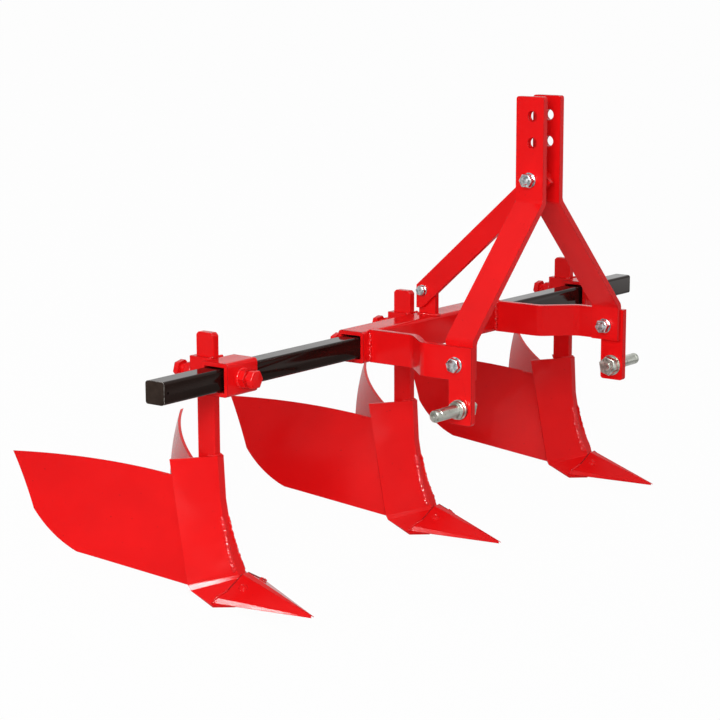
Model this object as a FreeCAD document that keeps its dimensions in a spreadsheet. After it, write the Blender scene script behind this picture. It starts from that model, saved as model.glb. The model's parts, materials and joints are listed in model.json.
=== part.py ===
import FreeCAD, Part
import math
import os

import Sketcher

V = FreeCAD.Vector
doc = FreeCAD.newDocument("Ridger")

# ---------------------------------------------------------------- sizes
# Millimetres and degrees.  X runs across the machine, +Y is to the rear,
# Z is up from the line of the share points.
SIZES = [
    # whole machine
    ("body_spacing", 587), ("seat_gap", 0.3),
    ("rest_lean", -15.075), ("rest_lift", -9.94), ("rest_back", -85.35),
    # toolbar
    ("bar_size", 40), ("bar_wall", 4), ("bar_length", 1528), ("bar_offset", -10),
    ("bar_height", 405), ("bar_corner", 5), ("cap_depth", 14), ("cap_rim", 3),
    # clamps and centre sleeve
    ("box_slack", 2), ("box_wall", 8), ("box_corner", 7), ("clamp_width", 80), ("sleeve_length", 474),
    ("socket_wall", 8), ("socket_height", 60),
    # set screws
    ("screw_dia", 20), ("screw_head_af", 30), ("screw_head_high", 12.5), ("screw_boss_high", 15),
    ("screw_neck", 6), ("socket_screw_neck", 14), ("sleeve_screw_at", 207), ("thread_gap", 0.3),
    # shank
    ("shank_thick", 15), ("shank_wide", 40), ("shank_top", 478), ("shank_foot", 70),
    ("shank_chamfer", 5),
    # breast plate, share and the frog that carries them on the shank
    ("breast_thick", 6), ("share_thick", 6), ("share_slope", 0.824), ("share_bevel", 10),
    ("share_land", 1.5), ("share_tip_y", -208), ("share_tip_z", 4.1), ("share_tip_thick", 2),
    ("share_tip_half", 5), ("share_tip_back", -3), ("share_tip_drop", -3.1), ("share_tip_nose", 1.5),
    ("frog_thick", 15), ("frog_reach", -86), ("frog_nose_high", 28.8), ("frog_nose_low", 16),
    ("frog_seam_y", -60), ("frog_seam_z", 38), ("frog_bend_y", -44), ("frog_bend_z", 46.5),
    ("frog_throat_y", -36), ("frog_throat_z", 62), ("frog_drop", 14),
    # wings
    ("hinge_x", 48.5), ("hinge_y", 4.4), ("hinge_z", 30), ("hinge_tilt", 17.5), ("hinge_turn", 23.3),
    ("pin_dia", 10), ("eye_dia", 18), ("eye_gap", 0.05), ("eye_low", 40), ("eye_high", 206),
    ("lug_thick", 8), ("lug_gap", 1), ("lug_turn", 140.7), ("lug_reach_low", 13), ("lug_reach_high", 19),
    ("wing_thick", 5), ("wing_face", 2), ("wing_angle", 50), ("wing_roll_turn", 60),
    ("wing_flat", 148), ("wing_roll", 356), ("wing_roll_reach", 270), ("wing_root", 6), ("wing_notch", 19),
    ("wing_inset", 8),
    ("wing_tip_x", 275.5), ("wing_tip_z", 285), ("wing_root_top", 202), ("wing_root_low", 4),
    ("wing_heel_x", 216.5), ("wing_heel_z", 93), ("wing_rear_x", 274.5), ("wing_rear_z", 181),
    ("wing_top_radius", 1300), ("wing_heel_radius", 172),
    # hitch frame
    ("mast_gap", 45), ("plate_thick", 12), ("mast_width", 60), ("mast_front", -290),
    ("mast_top", 870), ("mast_straight", 199), ("foot_bend", 444), ("foot_x", 246), ("foot_low", 377),
    ("top_link_dia", 19.5), ("top_link_y", -265), ("top_link_drop", 36), ("top_link_step", 49),
    ("mast_corner", 5),
    ("bracket_x", 206), ("bracket_joggle_front", -188), ("bracket_joggle_rear", -132),
    ("bracket_top", 438), ("bracket_low", 376), ("ear_front", -295), ("ear_rear", -245),
    ("ear_low", 296), ("ear_corner", 6),
    ("mast_bolt_rise", 45), ("foot_bolt_height", 405),
    ("frame_bolt_dia", 16), ("frame_bolt_af", 24), ("frame_bolt_head_high", 10),
    ("frame_bolt_nut_high", 14), ("frame_bolt_tail", 4), ("bolt_gap", 0.25),
    ("brace_bolt_dia", 12), ("brace_bolt_af", 18), ("brace_bolt_head_high", 8),
    ("brace_bolt_nut_high", 10), ("brace_bolt_tail", 3),
    ("spacer_dia", 27), ("brace_thick", 10), ("brace_width", 42), ("brace_above", 17.5),
    ("brace_over", 20), ("brace_end_y", 15), ("brace_toe_cut", 11.220),
    ("brace_foot_y", 0), ("brace_foot_height", 484), ("lug_front", -25), ("lug_rear", 16),
    ("lug_top", 500), ("lug_round", 18),
    # lower hitch pins
    ("link_pin_dia", 22), ("link_pin_y", -270), ("link_pin_height", 325), ("link_pin_end", 350),
    ("link_collar_dia", 36), ("link_collar_thick", 14), ("link_nut_af", 34), ("link_nut_high", 16),
    ("link_stub_dia", 18), ("link_stub_over", 5),
]

# Levels of the breast plate from the top down: flat nose strip (y, z), rear edge (x, y, z), and
# how far the nose strip reaches past the shank on each side.  The last two lie under the share.
BREAST = [
    ("top", -6.5, 259, 48, 72, 250, 0.5), ("upper", -11, 180, 57.8, 49.4, 172, 0.5),
    ("middle", -18, 142, 62.5, 38.4, 134, 0.5), ("lower", -27, 108, 66.6, 28.8, 101, 1),
    ("low", -40, 78, 70.1, 20.7, 73, 2), ("foot", -48, 62, 73, 14, 50, 2.5),
    ("bend_in", -50.5, 57, 73.6, 12.7, 45.2, 2.5), ("bend", -53.3, 51, 74.6, 9.6, 36.5, 2),
    ("bend_out", -57, 46.6, 75, 3.5, 28, 1), ("seam", -60, 45.5, 75, -48, 10.5, 0.5),
    ("apron", -88, 36.3, 53.3, -80.4, 11.7, -0.8),
]
PLACES = ("ridge_y", "ridge_z", "edge_x", "edge_y", "edge_z", "nose")
SIZES += [(f"{level}_{p}", amount) for level, *row in BREAST for p, amount in zip(PLACES, row)]

sheet = doc.addObject("Spreadsheet::Sheet", "Sizes")
for row, (alias, amount) in enumerate(SIZES, 1):
    sheet.set(f"A{row}", alias)
    sheet.set(f"B{row}", str(amount))
    sheet.setAlias(f"B{row}", alias)
doc.recompute()


class Size:
    """A number together with the sheet expression that gives it."""

    def __init__(self, number, text=None):
        self.number = float(number)
        self.text = text if text else repr(float(number))

    def join(self, other, sign, number):
        other = size(other)
        return Size(number(self.number, other.number), f"({self.text} {sign} {other.text})")

    def __add__(self, other):
        return self.join(other, "+", lambda a, b: a + b)

    def __sub__(self, other):
        return self.join(other, "-", lambda a, b: a - b)

    def __mul__(self, other):
        return self.join(other, "*", lambda a, b: a * b)

    def __truediv__(self, other):
        return self.join(other, "/", lambda a, b: a / b)

    def __rsub__(self, other):
        return size(other) - self

    def __neg__(self):
        return Size(-self.number, f"(0 - {self.text})")

    __radd__ = __add__
    __rmul__ = __mul__


def size(item):
    return item if isinstance(item, Size) else Size(item)


S = {alias: Size(amount, f"Sizes.{alias}") for alias, amount in SIZES}


def sine(angle):
    return Size(math.sin(math.radians(angle.number)), f"sin({angle.text} * 1deg)")


def cosine(angle):
    return Size(math.cos(math.radians(angle.number)), f"cos({angle.text} * 1deg)")


def root(item):
    return Size(math.sqrt(item.number), f"sqrt({item.text})")


def hypotenuse(a, b):
    return root(a * a + b * b)


# ---------------------------------------------------------------- builders
def new_body(name):
    body = doc.addObject("PartDesign::Body", name)
    body.Label = name
    return body


def sketch(body, plane, shift=0, tilt=None, base=None):
    """Empty sketch on one of the body's own planes, moved along its normal."""
    item = body.newObject("Sketcher::SketchObject", body.Name + "_sketch")
    origin = [f for f in body.Origin.OriginFeatures if f.Role == plane + "_Plane"][0]
    item.AttachmentSupport = [(origin, "")]
    item.MapMode = "FlatFace"
    if base:
        where = ";".join(size(b).text for b in base)
        turns = [("1;0;0", tilt)] if not isinstance(tilt, list) else tilt
        text = f"placement(vector({where});rotation(vector(0;0;1);0))"
        for axis, angle in turns:
            text += f" * placement(vector(0;0;0);rotation(vector({axis});{size(angle or 0).text}))"
        item.setExpression("AttachmentOffset", text)
    else:
        item.setExpression("AttachmentOffset",
                           f"placement(vector(0;0;{size(shift).text});rotation(vector(0;0;1);0))")
    return item


def pin_point(item, index, end, point):
    for kind, amount in zip(("DistanceX", "DistanceY"), point):
        amount = size(amount)
        number = item.addConstraint(Sketcher.Constraint(kind, -1, 1, index, end, amount.number))
        if "Sizes" in amount.text:
            item.setExpression(f"Constraints[{number}]", amount.text)


def outline(item, points):
    """Closed loop.  A point is (x, y) or (x, y, radius, side) with an arc leading to it."""
    points = [tuple(size(c) for c in p[:3]) + tuple(p[3:]) for p in points]
    ends = []
    for before, after in zip(points[-1:] + points[:-1], points):
        a = V(before[0].number, before[1].number, 0)
        b = V(after[0].number, after[1].number, 0)
        if len(after) == 2:
            ends.append((item.addGeometry(Part.LineSegment(a, b)), 1, 2))
            continue
        radius, side = after[2].number, after[3]
        middle, half = (a + b) / 2, (b - a) / 2
        rise = math.sqrt(max(radius ** 2 - half.Length ** 2, 0))
        normal = V(-half.y, half.x, 0).normalize() * side
        centre = middle + normal * rise
        angles = [math.atan2(p.y - centre.y, p.x - centre.x) for p in (a, b)]
        if side < 0:
            angles.reverse()
        circle = Part.Circle(centre, V(0, 0, 1), radius)
        index = item.addGeometry(Part.ArcOfCircle(circle, *angles))
        ends.append((index, 1, 2) if side > 0 else (index, 2, 1))
    for this, following in zip(ends, ends[1:] + ends[:1]):
        item.addConstraint(Sketcher.Constraint("Coincident", this[0], this[2], following[0], following[1]))
    for place, after in zip(ends, points):
        pin_point(item, place[0], place[2], after[:2])
        if len(after) > 2:
            number = item.addConstraint(Sketcher.Constraint("Radius", place[0], after[2].number))
            item.setExpression(f"Constraints[{number}]", after[2].text)
    return item


def rectangle(item, x0, y0, x1, y1):
    return outline(item, [(x0, y0), (x1, y0), (x1, y1), (x0, y1)])


def circle(item, x, y, diameter):
    x, y, diameter = size(x), size(y), size(diameter)
    index = item.addGeometry(Part.Circle(V(x.number, y.number, 0), V(0, 0, 1), diameter.number / 2))
    pin_point(item, index, 3, (x, y))
    number = item.addConstraint(Sketcher.Constraint("Radius", index, diameter.number / 2))
    item.setExpression(f"Constraints[{number}]", f"{diameter.text} / 2")
    return item


def hexagon(item, x, y, flats):
    corner = size(flats) / math.sqrt(3)
    turns = [(math.cos(math.radians(60 * k)), math.sin(math.radians(60 * k))) for k in range(6)]
    return outline(item, [(x + corner * c, y + corner * s) for c, s in turns])


def pad(body, item, length, both=False, back=False):
    feature = body.newObject("PartDesign::Pad", body.Name + "_pad")
    feature.Profile = item
    feature.Length = size(length).number
    feature.setExpression("Length", size(length).text)
    feature.Midplane = both
    feature.Reversed = back
    item.Visibility = False
    doc.recompute()
    return feature


def pocket(body, item, length=None, back=False):
    """Cut both ways through everything, or one way to a depth."""
    before = body.Shape.Volume
    feature = body.newObject("PartDesign::Pocket", body.Name + "_pocket")
    feature.Profile = item
    if length is None:
        feature.Type = "ThroughAll"
        feature.Midplane = True
    else:
        feature.Length = size(length).number
        feature.setExpression("Length", size(length).text)
        feature.Reversed = back
    doc.recompute()
    if not body.Shape.Volume < before - 1e-3:
        raise RuntimeError(f"{body.Name}: a cut removed nothing")
    return feature


def edges_where(shape, test):
    return [f"Edge{n}" for n, edge in enumerate(shape.Edges, 1) if test(edge)]


def dress(body, kind, test, amount):
    """Fillet or Chamfer on the edges that pass the test."""
    names = edges_where(body.Shape, test)
    if not names:
        raise RuntimeError(f"{body.Name}: no edge to dress")
    feature = body.newObject(f"PartDesign::{kind}", f"{body.Name}_{kind.lower()}")
    feature.Base = (body.Tip if body.Tip != feature else feature.BaseFeature, names)
    label = "Radius" if kind == "Fillet" else "Size"
    setattr(feature, label, size(amount).number)
    feature.setExpression(label, size(amount).text)
    doc.recompute()
    return feature


def along(edge, axis):
    if edge.Curve.TypeId != "Part::GeomLine":
        return False
    return abs(abs(edge.Curve.Direction.dot(axis)) - 1) < 1e-6


def place(body, x=0, y=0, z=0, turns=()):
    """Stand the piece in the working frame, then lean the machine to its resting pose."""
    lean = ("placement(vector(0;Sizes.rest_back;Sizes.rest_lift);"
            "rotation(vector(1;0;0);Sizes.rest_lean))")
    where = ";".join(size(c).text for c in (x, y, z))
    text = f"{lean} * placement(vector({where});rotation(vector(0;0;1);0))"
    for axis, angle in turns:
        text += f" * placement(vector(0;0;0);rotation(vector({axis});{size(angle).text}))"
    body.setExpression("Placement", text)
    doc.recompute()
    return body


AX, AY, AZ = V(1, 0, 0), V(0, 1, 0), V(0, 0, 1)
SIDES = {"left": 1, "right": -1}

bar_half = S["bar_size"] / 2
box_half = bar_half + S["box_slack"] + S["box_wall"]
box_inner = box_half - S["box_wall"]
box_play = box_inner - bar_half - S["seat_gap"]
# screws press the bar back in the clamps and forward in the sleeve
BOX_Y = {"left": -box_play, "right": -box_play, "centre": box_play}
WALL = S["socket_wall"] + S["seat_gap"]

# ---------------------------------------------------------------- toolbar
toolbar = new_body("toolbar")
pad(toolbar, rectangle(sketch(toolbar, "YZ"), -bar_half, -bar_half, bar_half, bar_half),
    S["bar_length"], both=True)
dress(toolbar, "Fillet", lambda e: along(e, AX), S["bar_corner"])
bore_half = bar_half - S["bar_wall"]
pocket(toolbar, rectangle(sketch(toolbar, "YZ"), -bore_half, -bore_half, bore_half, bore_half))
place(toolbar, S["bar_offset"], 0, S["bar_height"])

for side, s in SIDES.items():
    cap = new_body(f"toolbar_cap_{side}")
    plug_half = bore_half - S["seat_gap"]
    pad(cap, rectangle(sketch(cap, "YZ"), -bar_half, -bar_half, bar_half, bar_half), S["cap_rim"],
        back=s < 0)
    dress(cap, "Fillet", lambda e: along(e, AX), S["bar_corner"])
    pad(cap, rectangle(sketch(cap, "YZ"), -plug_half, -plug_half, plug_half, plug_half),
        S["cap_depth"], back=s > 0)
    place(cap, S["bar_offset"] + S["bar_length"] / 2 * s, 0, S["bar_height"])


# ---------------------------------------------------------------- boxes and sockets round the bar
screw_bore = S["screw_dia"] + S["thread_gap"] * 2


def box_tube(name, length, x, y, screws, face):
    """Square tube round the bar, threaded bosses on its front (-1) or rear (+1) face."""
    tube = new_body(name)
    pad(tube, rectangle(sketch(tube, "YZ"), -box_half, -box_half, box_half, box_half), length, both=True)
    dress(tube, "Fillet", lambda e: along(e, AX), S["box_corner"])
    pocket(tube, rectangle(sketch(tube, "YZ"), -box_inner, -box_inner, box_inner, box_inner))
    for at in screws:
        pad(tube, hexagon(sketch(tube, "XZ", box_half * -face), at, 0, S["screw_head_af"]),
            S["screw_boss_high"], back=face > 0)
        pocket(tube, circle(sketch(tube, "XZ"), at, 0, screw_bore), box_half + S["screw_boss_high"],
               back=face < 0)
    return place(tube, x, y, S["bar_height"])


def shank_socket(name, x, y):
    """Channel bent round the back of the shank, with a threaded boss behind it."""
    socket = new_body(name)
    inner = S["shank_thick"] / 2 + S["seat_gap"]
    outer, depth = inner + S["socket_wall"], S["shank_wide"] + S["seat_gap"] * 2
    pad(socket, rectangle(sketch(socket, "XY"), -outer, 0, outer, depth + S["socket_wall"]),
        S["socket_height"], both=True)
    pocket(socket, rectangle(sketch(socket, "XY"), -inner, -1, inner, depth))
    pad(socket, hexagon(sketch(socket, "XZ", -depth - S["socket_wall"]), 0, 0, S["screw_head_af"]),
        S["screw_boss_high"], back=True)
    pocket(socket, circle(sketch(socket, "XZ", -depth / 2), 0, 0, screw_bore),
           depth + S["socket_wall"] + S["screw_boss_high"])
    return place(socket, x, y, S["bar_height"])


def set_screw(name, x, y, facing, reach):
    """Hexagon-headed screw; facing is +1 for a head to the rear."""
    screw = new_body(name)
    pad(screw, circle(sketch(screw, "XZ"), 0, 0, S["screw_dia"]), reach, back=facing > 0)
    pad(screw, hexagon(sketch(screw, "XZ", reach * -facing), 0, 0, S["screw_head_af"]),
        S["screw_head_high"], back=facing > 0)
    return place(screw, x, y, S["bar_height"])


box_reach = S["box_wall"] + S["screw_boss_high"] + S["screw_neck"] + box_inner + box_play - bar_half
socket_reach = WALL + S["screw_boss_high"] + S["socket_screw_neck"]
SHANK_Y = {tag: y + box_half + S["seat_gap"] for tag, y in BOX_Y.items()}

sleeve_screws = [S["sleeve_screw_at"] * s for s in (1, -1)]
box_tube("sleeve", S["sleeve_length"], 0, BOX_Y["centre"], sleeve_screws, 1)
for (side, s), at in zip(SIDES.items(), sleeve_screws):
    set_screw(f"sleeve_screw_{side}", at, bar_half, 1, box_reach)
    x = S["body_spacing"] * s
    box_tube(f"clamp_{side}", S["clamp_width"], x, BOX_Y[side], [0], -1)
    set_screw(f"clamp_screw_{side}", x, -bar_half, -1, box_reach)
CENTRES = {"centre": size(0), "left": S["body_spacing"], "right": -S["body_spacing"]}
for tag, x in CENTRES.items():
    shank_socket(f"socket_{tag}", x, BOX_Y[tag] + box_half)
    set_screw(f"socket_screw_{tag}", x, SHANK_Y[tag] + S["shank_wide"], 1, socket_reach)

# ---------------------------------------------------------------- three ridging bodies
def vee_section(body, level, thick, up=0, bevel=None, land=0):
    """V-shaped strip in the plane that holds the nose strip and both rear edge points."""
    ridge_y, ridge_z, x, y, z, nose = level
    depth = hypotenuse(y - ridge_y, z - ridge_z)
    angle = math.degrees(math.atan2((z - ridge_z).number, (y - ridge_y).number))
    tilt = Size(angle, f"atan2({(z - ridge_z).text};{(y - ridge_y).text}) / 1deg")
    item = sketch(body, "XY", base=(0, ridge_y, ridge_z + up), tilt=tilt)
    run = x - nose
    slant = hypotenuse(run, depth)
    across, down = run / slant, depth / slant
    edge = [(x, depth)]
    if bevel:
        edge = [(x - bevel * across, depth - bevel * down),
                (x - (thick - land) * down, depth + (thick - land) * across)]
    edge.append((x - thick * down, depth + thick * across))
    inner_nose = nose - thick * (slant - run) / depth
    half = [(nose, 0)] + edge + [(inner_nose, thick)]
    return outline(item, half + [(-px, py) for px, py in reversed(half)])


def breast_level(name):
    level = [S[f"{name}_{p}"] for p in PLACES]
    return level[:5] + [level[5] + S["shank_thick"] / 2]


def loft(body, sections):
    feature = body.newObject("PartDesign::AdditiveLoft", body.Name + "_loft")
    feature.Profile = sections[0]
    feature.Sections = sections[1:]
    feature.Ruled = True
    doc.recompute()


def ridging_body(tag, centre, front, up):
    """Shank, breast plate, share, frog and hinged wings; y is taken from the shank's front face."""
    shank = new_body(f"shank_{tag}")
    pad(shank, rectangle(sketch(shank, "YZ"), 0, S["shank_foot"], S["shank_wide"], S["shank_top"]),
        S["shank_thick"], both=True)
    dress(shank, "Chamfer", lambda e: along(e, AX) and e.CenterOfMass.z > S["shank_top"].number - 1,
          S["shank_chamfer"])
    place(shank, centre, front, up)

    breast = new_body(f"breast_{tag}")
    gap = S["seat_gap"]
    loft(breast, [vee_section(breast, breast_level(row[0]), S["breast_thick"]) for row in BREAST])
    slot = S["shank_thick"] / 2 + gap
    pocket(breast, rectangle(sketch(breast, "XY"), -slot, -gap, slot, S["shank_wide"]))
    lug_low = S["eye_low"] - S["lug_gap"] - S["lug_thick"]
    lug_high = S["eye_high"] + S["lug_gap"]
    half = S["eye_dia"] / 2
    for s in SIDES.values():
        spot = (S["hinge_x"] * s, S["hinge_y"], S["hinge_z"])
        turns = [("0;0;1", 90 + S["hinge_turn"] * s), ("0;1;0", S["hinge_tilt"])]
        for level, reach in ((lug_low, S["lug_reach_low"]), (lug_high, S["lug_reach_high"])):
            lug = sketch(breast, "XY", base=spot,
                         tilt=turns + [("0;0;1", -S["lug_turn"] * s)])
            rectangle(lug, -half, -half, reach, half)
            lug.setExpression("AttachmentOffset", lug.ExpressionEngine[0][1]
                              + f" * placement(vector(0;0;{level.text});rotation(vector(0;0;1);0))")
            pad(breast, lug, S["lug_thick"])
        hole = sketch(breast, "XY", base=spot, tilt=turns)
        pocket(breast, circle(hole, 0, 0, S["pin_dia"] + S["eye_gap"] * 2),
               lug_high + S["lug_thick"] + S["lug_gap"], back=True)
    place(breast, centre, front, up)

    share = new_body(f"share_{tag}")
    rise = (S["share_thick"] + gap) / S["share_slope"]
    tip_y, tip_z = S["share_tip_y"], S["share_tip_z"]
    tip = [tip_y, tip_z, S["share_tip_half"], tip_y + S["share_tip_back"], tip_z + S["share_tip_drop"],
           S["share_tip_nose"]]
    loft(share, [
        vee_section(share, breast_level("seam"), S["share_thick"], rise, S["share_bevel"], S["share_land"]),
        vee_section(share, tip, S["share_tip_thick"], 0, S["share_land"], S["share_land"])])
    place(share, centre, front, up)

    frog = new_body(f"frog_{tag}")
    wide = S["shank_wide"]
    outline(web := sketch(frog, "YZ"), [
        (0, S["shank_foot"] - gap), (S["frog_throat_y"], S["frog_throat_z"]),
        (S["frog_bend_y"], S["frog_bend_z"]), (S["frog_seam_y"], S["frog_seam_z"]),
        (S["frog_reach"], S["frog_nose_high"]), (S["frog_reach"], S["frog_nose_low"]),
        (wide, S["shank_foot"] - S["frog_drop"]), (wide, S["shank_foot"] - gap)])
    pad(frog, web, S["frog_thick"], both=True)
    place(frog, centre, front, up)

    for side, s in SIDES.items():
        turns = [("0;0;1", 90 + S["hinge_turn"] * s), ("0;1;0", S["hinge_tilt"])]
        spot = (centre + S["hinge_x"] * s, front + S["hinge_y"], up + S["hinge_z"])

        pin = new_body(f"wing_pin_{tag}_{side}")
        low = S["eye_low"] - S["lug_gap"] - S["lug_thick"]
        high = S["eye_high"] + S["lug_gap"] + S["lug_thick"]
        pad(pin, circle(sketch(pin, "XY", low), 0, 0, S["pin_dia"]), high - low)
        place(pin, *spot, turns)

        wing = new_body(f"wing_{tag}_{side}")
        bow = [("0;0;1", -S["wing_angle"] * s), ("0;1;0", -S["wing_roll_turn"])]
        face, back = S["wing_face"], S["wing_face"] - S["wing_thick"]
        sine_, radius = S["wing_roll_reach"] / S["wing_roll"], S["wing_roll"]
        cosine_, outer = root(1 - sine_ * sine_), radius + S["wing_thick"]
        flat, start, beyond = S["wing_flat"], -S["wing_notch"], S["wing_roll"] + S["wing_tip_x"]
        strip = [(start, face), (flat, face),
                 (flat + radius * sine_, face + radius - radius * cosine_, radius, -s),
                 (flat + outer * sine_, face + radius - outer * cosine_),
                 (flat, back, outer, s), (start, back)]
        profile = sketch(wing, "XY", base=(0, 0, 0), tilt=bow)
        outline(profile, [(p[0], -size(p[1]) * s) + tuple(p[2:]) for p in strip])
        pad(wing, profile, beyond, both=True)
        cut = sketch(wing, "XZ", base=(0, 0, 0), tilt=[("0;1;0", -S["wing_angle"] * s)])
        outline(cut, [(S["wing_root"], S["eye_low"] + S["wing_inset"]),
                      (S["wing_notch"], S["eye_low"] + S["wing_inset"]),
                      (S["wing_notch"], S["wing_root_low"]),
                      (S["wing_heel_x"], S["wing_heel_z"]),
                      (S["wing_rear_x"], S["wing_rear_z"], S["wing_heel_radius"], 1),
                      (S["wing_tip_x"], S["wing_tip_z"]),
                      (S["wing_notch"], S["wing_root_top"], S["wing_top_radius"], 1),
                      (S["wing_notch"], S["eye_high"] - S["wing_inset"]),
                      (S["wing_root"], S["eye_high"] - S["wing_inset"])])
        rectangle(cut, -beyond, -beyond, beyond, beyond)
        pocket(wing, cut)
        pad(wing, circle(sketch(wing, "XY", S["eye_low"]), 0, 0, S["eye_dia"]),
            S["eye_high"] - S["eye_low"])
        pocket(wing, circle(sketch(wing, "XY"), 0, 0, S["pin_dia"] + S["eye_gap"] * 2))
        place(wing, *spot, turns)


# the centre shank stands further back; it is set up so that all three bodies meet one floor
floor_slope = -sine(S["rest_lean"]) / cosine(S["rest_lean"])
for tag, x in CENTRES.items():
    ridging_body(tag, x, SHANK_Y[tag], (BOX_Y[tag] - BOX_Y["left"]) * floor_slope)

# ---------------------------------------------------------------- hitch frame
t = S["plate_thick"]


def joggled(item, s, x0, x1, far, bend0, bend1, near):
    """Flat bar bent out and back again; travels along the sketch's y axis from far to near."""
    out, drop = x1 - x0, bend0 - bend1
    turn = t * (hypotenuse(out, drop) - drop) / out
    inner = [(x0, far), (x0, bend0), (x1, bend1), (x1, near)]
    outer = [(x1 + t, near), (x1 + t, bend1 + turn), (x0 + t, bend0 + turn), (x0 + t, far)]
    return outline(item, [(size(x) * s, y) for x, y in inner + outer])


ear_x = S["foot_x"] + t
top_link = S["mast_top"] - S["top_link_drop"]
mast_bend = S["mast_top"] - S["mast_straight"]
mast_bolt = mast_bend + S["mast_bolt_rise"]
box_front = BOX_Y["centre"] - box_half
for side, s in SIDES.items():
    bracket = new_body(f"bracket_{side}")
    plan = joggled(sketch(bracket, "XY", S["ear_low"]), s, S["bracket_x"], ear_x, box_front,
                   S["bracket_joggle_rear"], S["bracket_joggle_front"], S["ear_front"])
    pad(bracket, plan, S["bracket_top"] - S["ear_low"])
    pocket(bracket, rectangle(sketch(bracket, "YZ"), S["ear_rear"], S["ear_low"] - 10, 10,
                              S["bracket_low"]))
    dress(bracket, "Fillet", lambda e: along(e, AX) and e.CenterOfMass.z < S["ear_low"].number + 1,
          S["ear_corner"])
    pocket(bracket, circle(sketch(bracket, "YZ"), S["link_pin_y"], S["link_pin_height"],
                           S["link_stub_dia"] + S["bolt_gap"] * 2))
    pocket(bracket, circle(sketch(bracket, "YZ"), S["mast_front"] + S["mast_width"] / 2,
                           S["foot_bolt_height"], S["frame_bolt_dia"] + S["bolt_gap"] * 2))
    place(bracket)

    strut = new_body(f"strut_{side}")
    front = joggled(sketch(strut, "XZ", -S["mast_front"]), s, S["mast_gap"] / 2, S["foot_x"],
                    S["mast_top"], mast_bend, S["foot_bend"], S["foot_low"])
    pad(strut, front, S["mast_width"], back=True)
    dress(strut, "Fillet", lambda e: along(e, AX) and e.CenterOfMass.z > S["mast_top"].number - 1,
          S["mast_corner"])
    for height in (top_link, top_link - S["top_link_step"]):
        pocket(strut, circle(sketch(strut, "YZ"), S["top_link_y"], height, S["top_link_dia"]))
    for height in (mast_bolt, S["foot_bolt_height"]):
        pocket(strut, circle(sketch(strut, "YZ"), S["mast_front"] + S["mast_width"] / 2, height,
                             S["frame_bolt_dia"] + S["bolt_gap"] * 2))
    place(strut)


def cross_bolt(name, x0, x1, y, z, kind, s=1):
    """Bolt along X with its head at x1 and its nut at x0."""
    dia, flats = (S[kind + "_dia"], S[kind + "_af"])
    bolt = new_body(name)
    run = x1 - x0
    pad(bolt, circle(sketch(bolt, "YZ", -S[kind + "_tail"] - S[kind + "_nut_high"]), 0, 0, dia),
        run + S[kind + "_tail"] + S[kind + "_nut_high"])
    pad(bolt, hexagon(sketch(bolt, "YZ", run), 0, 0, flats), S[kind + "_head_high"])
    pad(bolt, hexagon(sketch(bolt, "YZ"), 0, 0, flats), S[kind + "_nut_high"], back=True)
    turns = [("0;0;1", 180)] if s < 0 else []
    return place(bolt, x0 * s, y, z, turns)


mast_y = S["mast_front"] + S["mast_width"] / 2
half_gap = S["mast_gap"] / 2
cross_bolt("mast_bolt", -half_gap - t, half_gap + t, mast_y, mast_bolt, "frame_bolt")
cross_bolt("brace_bolt", -S["brace_thick"], S["brace_thick"], S["brace_foot_y"],
           S["brace_foot_height"], "brace_bolt", -1)
for side, s in SIDES.items():
    cross_bolt(f"foot_bolt_{side}", S["foot_x"], ear_x + t, mast_y, S["foot_bolt_height"],
               "frame_bolt", s)

for side, start, stop in (("left", size(0), half_gap), ("right", -half_gap, -S["brace_thick"])):
    spacer = new_body(f"mast_spacer_{side}")
    pad(spacer, circle(sketch(spacer, "YZ", start), 0, 0, S["spacer_dia"]), stop - start)
    pocket(spacer, circle(sketch(spacer, "YZ"), 0, 0, S["frame_bolt_dia"] + S["bolt_gap"] * 2))
    place(spacer, 0, mast_y, mast_bolt)

brace = new_body("brace")
run_y, run_z = mast_y - S["brace_foot_y"], mast_bolt - S["brace_foot_height"]
length = hypotenuse(run_y, run_z)
uy, uz = run_y / length, run_z / length
slope = run_z / run_y
above, below = S["brace_above"], S["brace_width"] - S["brace_above"]
end_y, end_z = mast_y + uy * S["brace_over"], mast_bolt + uz * S["brace_over"]
toe_y = S["brace_end_y"]
toe_z = S["brace_foot_height"] + slope * (toe_y - S["brace_foot_y"])
toe_low = toe_z + below / uy + S["brace_toe_cut"]
outline(face := sketch(brace, "YZ"), [
    (toe_y, toe_z - above / uy), (toe_y, toe_low), (toe_y + S["brace_toe_cut"] / slope, toe_low),
    (end_y - uz * below, end_z + uy * below),
    (end_y + uz * above, end_z - uy * above)])
pad(brace, face, S["brace_thick"], back=True)
for y, z, dia in ((mast_y, mast_bolt, S["frame_bolt_dia"]),
                  (S["brace_foot_y"], S["brace_foot_height"], S["brace_bolt_dia"])):
    pocket(brace, circle(sketch(brace, "YZ"), y, z, dia + S["bolt_gap"] * 2))
place(brace)

lug = new_body("brace_lug")
sleeve_top = S["bar_height"] + box_half
pad(lug, rectangle(sketch(lug, "YZ"), S["lug_front"], sleeve_top, S["lug_rear"], S["lug_top"]),
    S["brace_thick"])
dress(lug, "Fillet", lambda e: along(e, AX) and e.CenterOfMass.z > S["lug_top"].number - 1,
      S["lug_round"])
pocket(lug, circle(sketch(lug, "YZ"), S["brace_foot_y"], S["brace_foot_height"],
                   S["brace_bolt_dia"] + S["bolt_gap"] * 2))
place(lug)

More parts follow.
